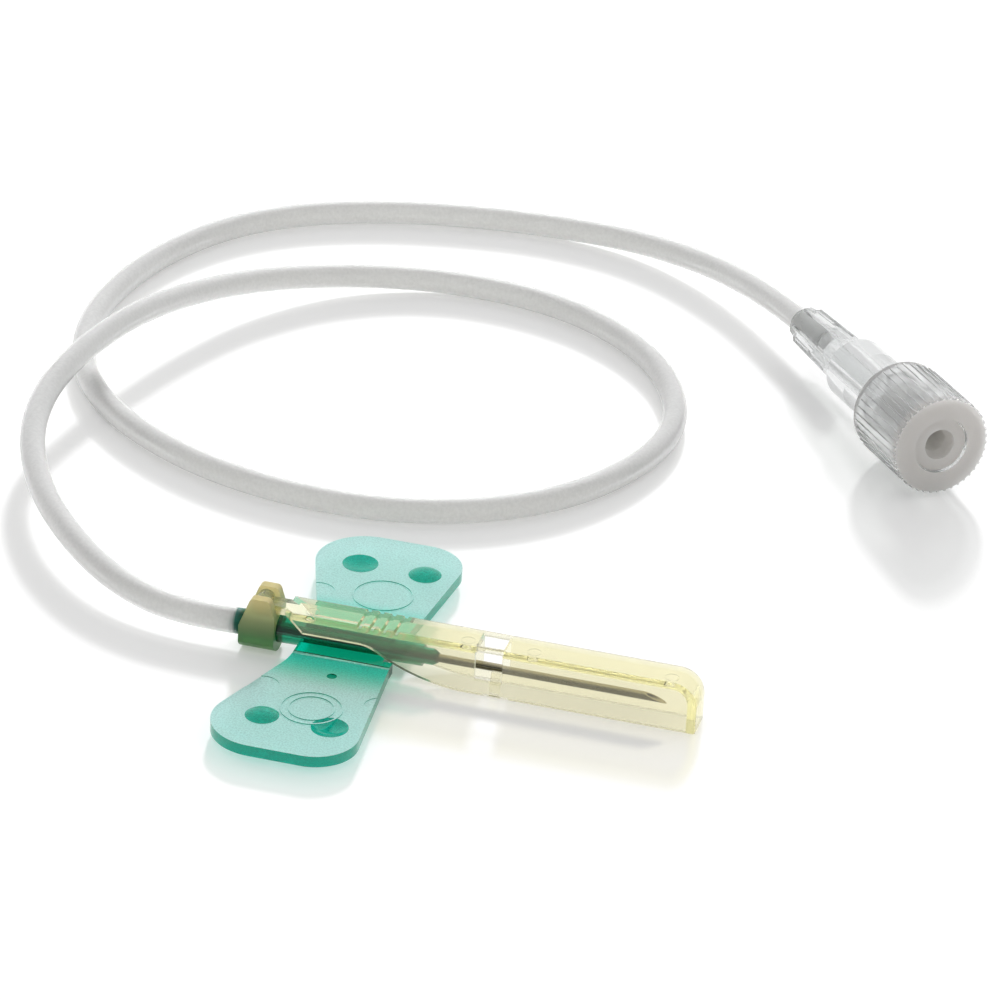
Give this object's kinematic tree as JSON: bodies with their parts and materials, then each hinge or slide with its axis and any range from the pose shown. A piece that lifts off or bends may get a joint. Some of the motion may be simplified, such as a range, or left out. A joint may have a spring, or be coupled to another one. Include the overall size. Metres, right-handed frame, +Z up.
{
  "type": "safety winged infusion set",
  "caption": "Winged steel needle with folding wings, a hinged channel shield that covers it, a flexible tube in two loops and a capped conical lock connector.",
  "frame": {"origin": "on the table, below the middle of the needle unit (hub, wings, needle, collar and shield)", "axes": "+X along the needle towards its tip, +Y across the wings to the left wing, +Z up"},
  "size_m": [0.0967, 0.1181, 0.0108],
  "materials": {
    "hub_plastic": "transparent sea green, glossy moulding",
    "wing_plastic": "translucent sea green with a fine frosted face",
    "needle_steel": "polished drawn steel",
    "collar_plastic": "frosted pale yellow",
    "shield_plastic": "clear, faintly yellow",
    "tube_plastic": "translucent soft tubing",
    "connector_plastic": "clear",
    "cap_plastic": "clear ribbed skirt with a frosted front face"
  },
  "bodies": {
    "hub_unit": {"hub": "hub_plastic", "needle": "needle_steel", "hinge_collar": "collar_plastic", "tube": "tube_plastic", "lock_connector": "connector_plastic"},
    "left_wing": {"wing_left": "wing_plastic"},
    "right_wing": {"wing_right": "wing_plastic"},
    "shield": {"safety_shield": "shield_plastic"},
    "cap": {"closing_cap": "cap_plastic"}
  },
  "joints": [
    {"name": "shield_hinge", "type": "hinge", "parent": "hub_unit", "child": "shield", "pos_m": [-0.0196, 0, 0.00485], "axis": [0, -1, 0], "range_deg": [0, 175]},
    {"name": "wing_left_fold", "type": "hinge", "parent": "hub_unit", "child": "left_wing", "pos_m": [0, 0.00315, 0.0016], "axis": [1, 0, 0], "range_deg": [0, 85], "stiffness_Nm_per_rad": 0.0002},
    {"name": "wing_right_fold", "type": "hinge", "parent": "hub_unit", "child": "right_wing", "pos_m": [0, -0.00315, 0.0016], "axis": [-1, 0, 0], "range_deg": [0, 85], "stiffness_Nm_per_rad": 0.0002},
    {"name": "cap_pull", "type": "slide", "parent": "hub_unit", "child": "cap", "axis": [0.6148, -0.7869, 0.0523], "range_m": [0, 0.012]}
  ]
}
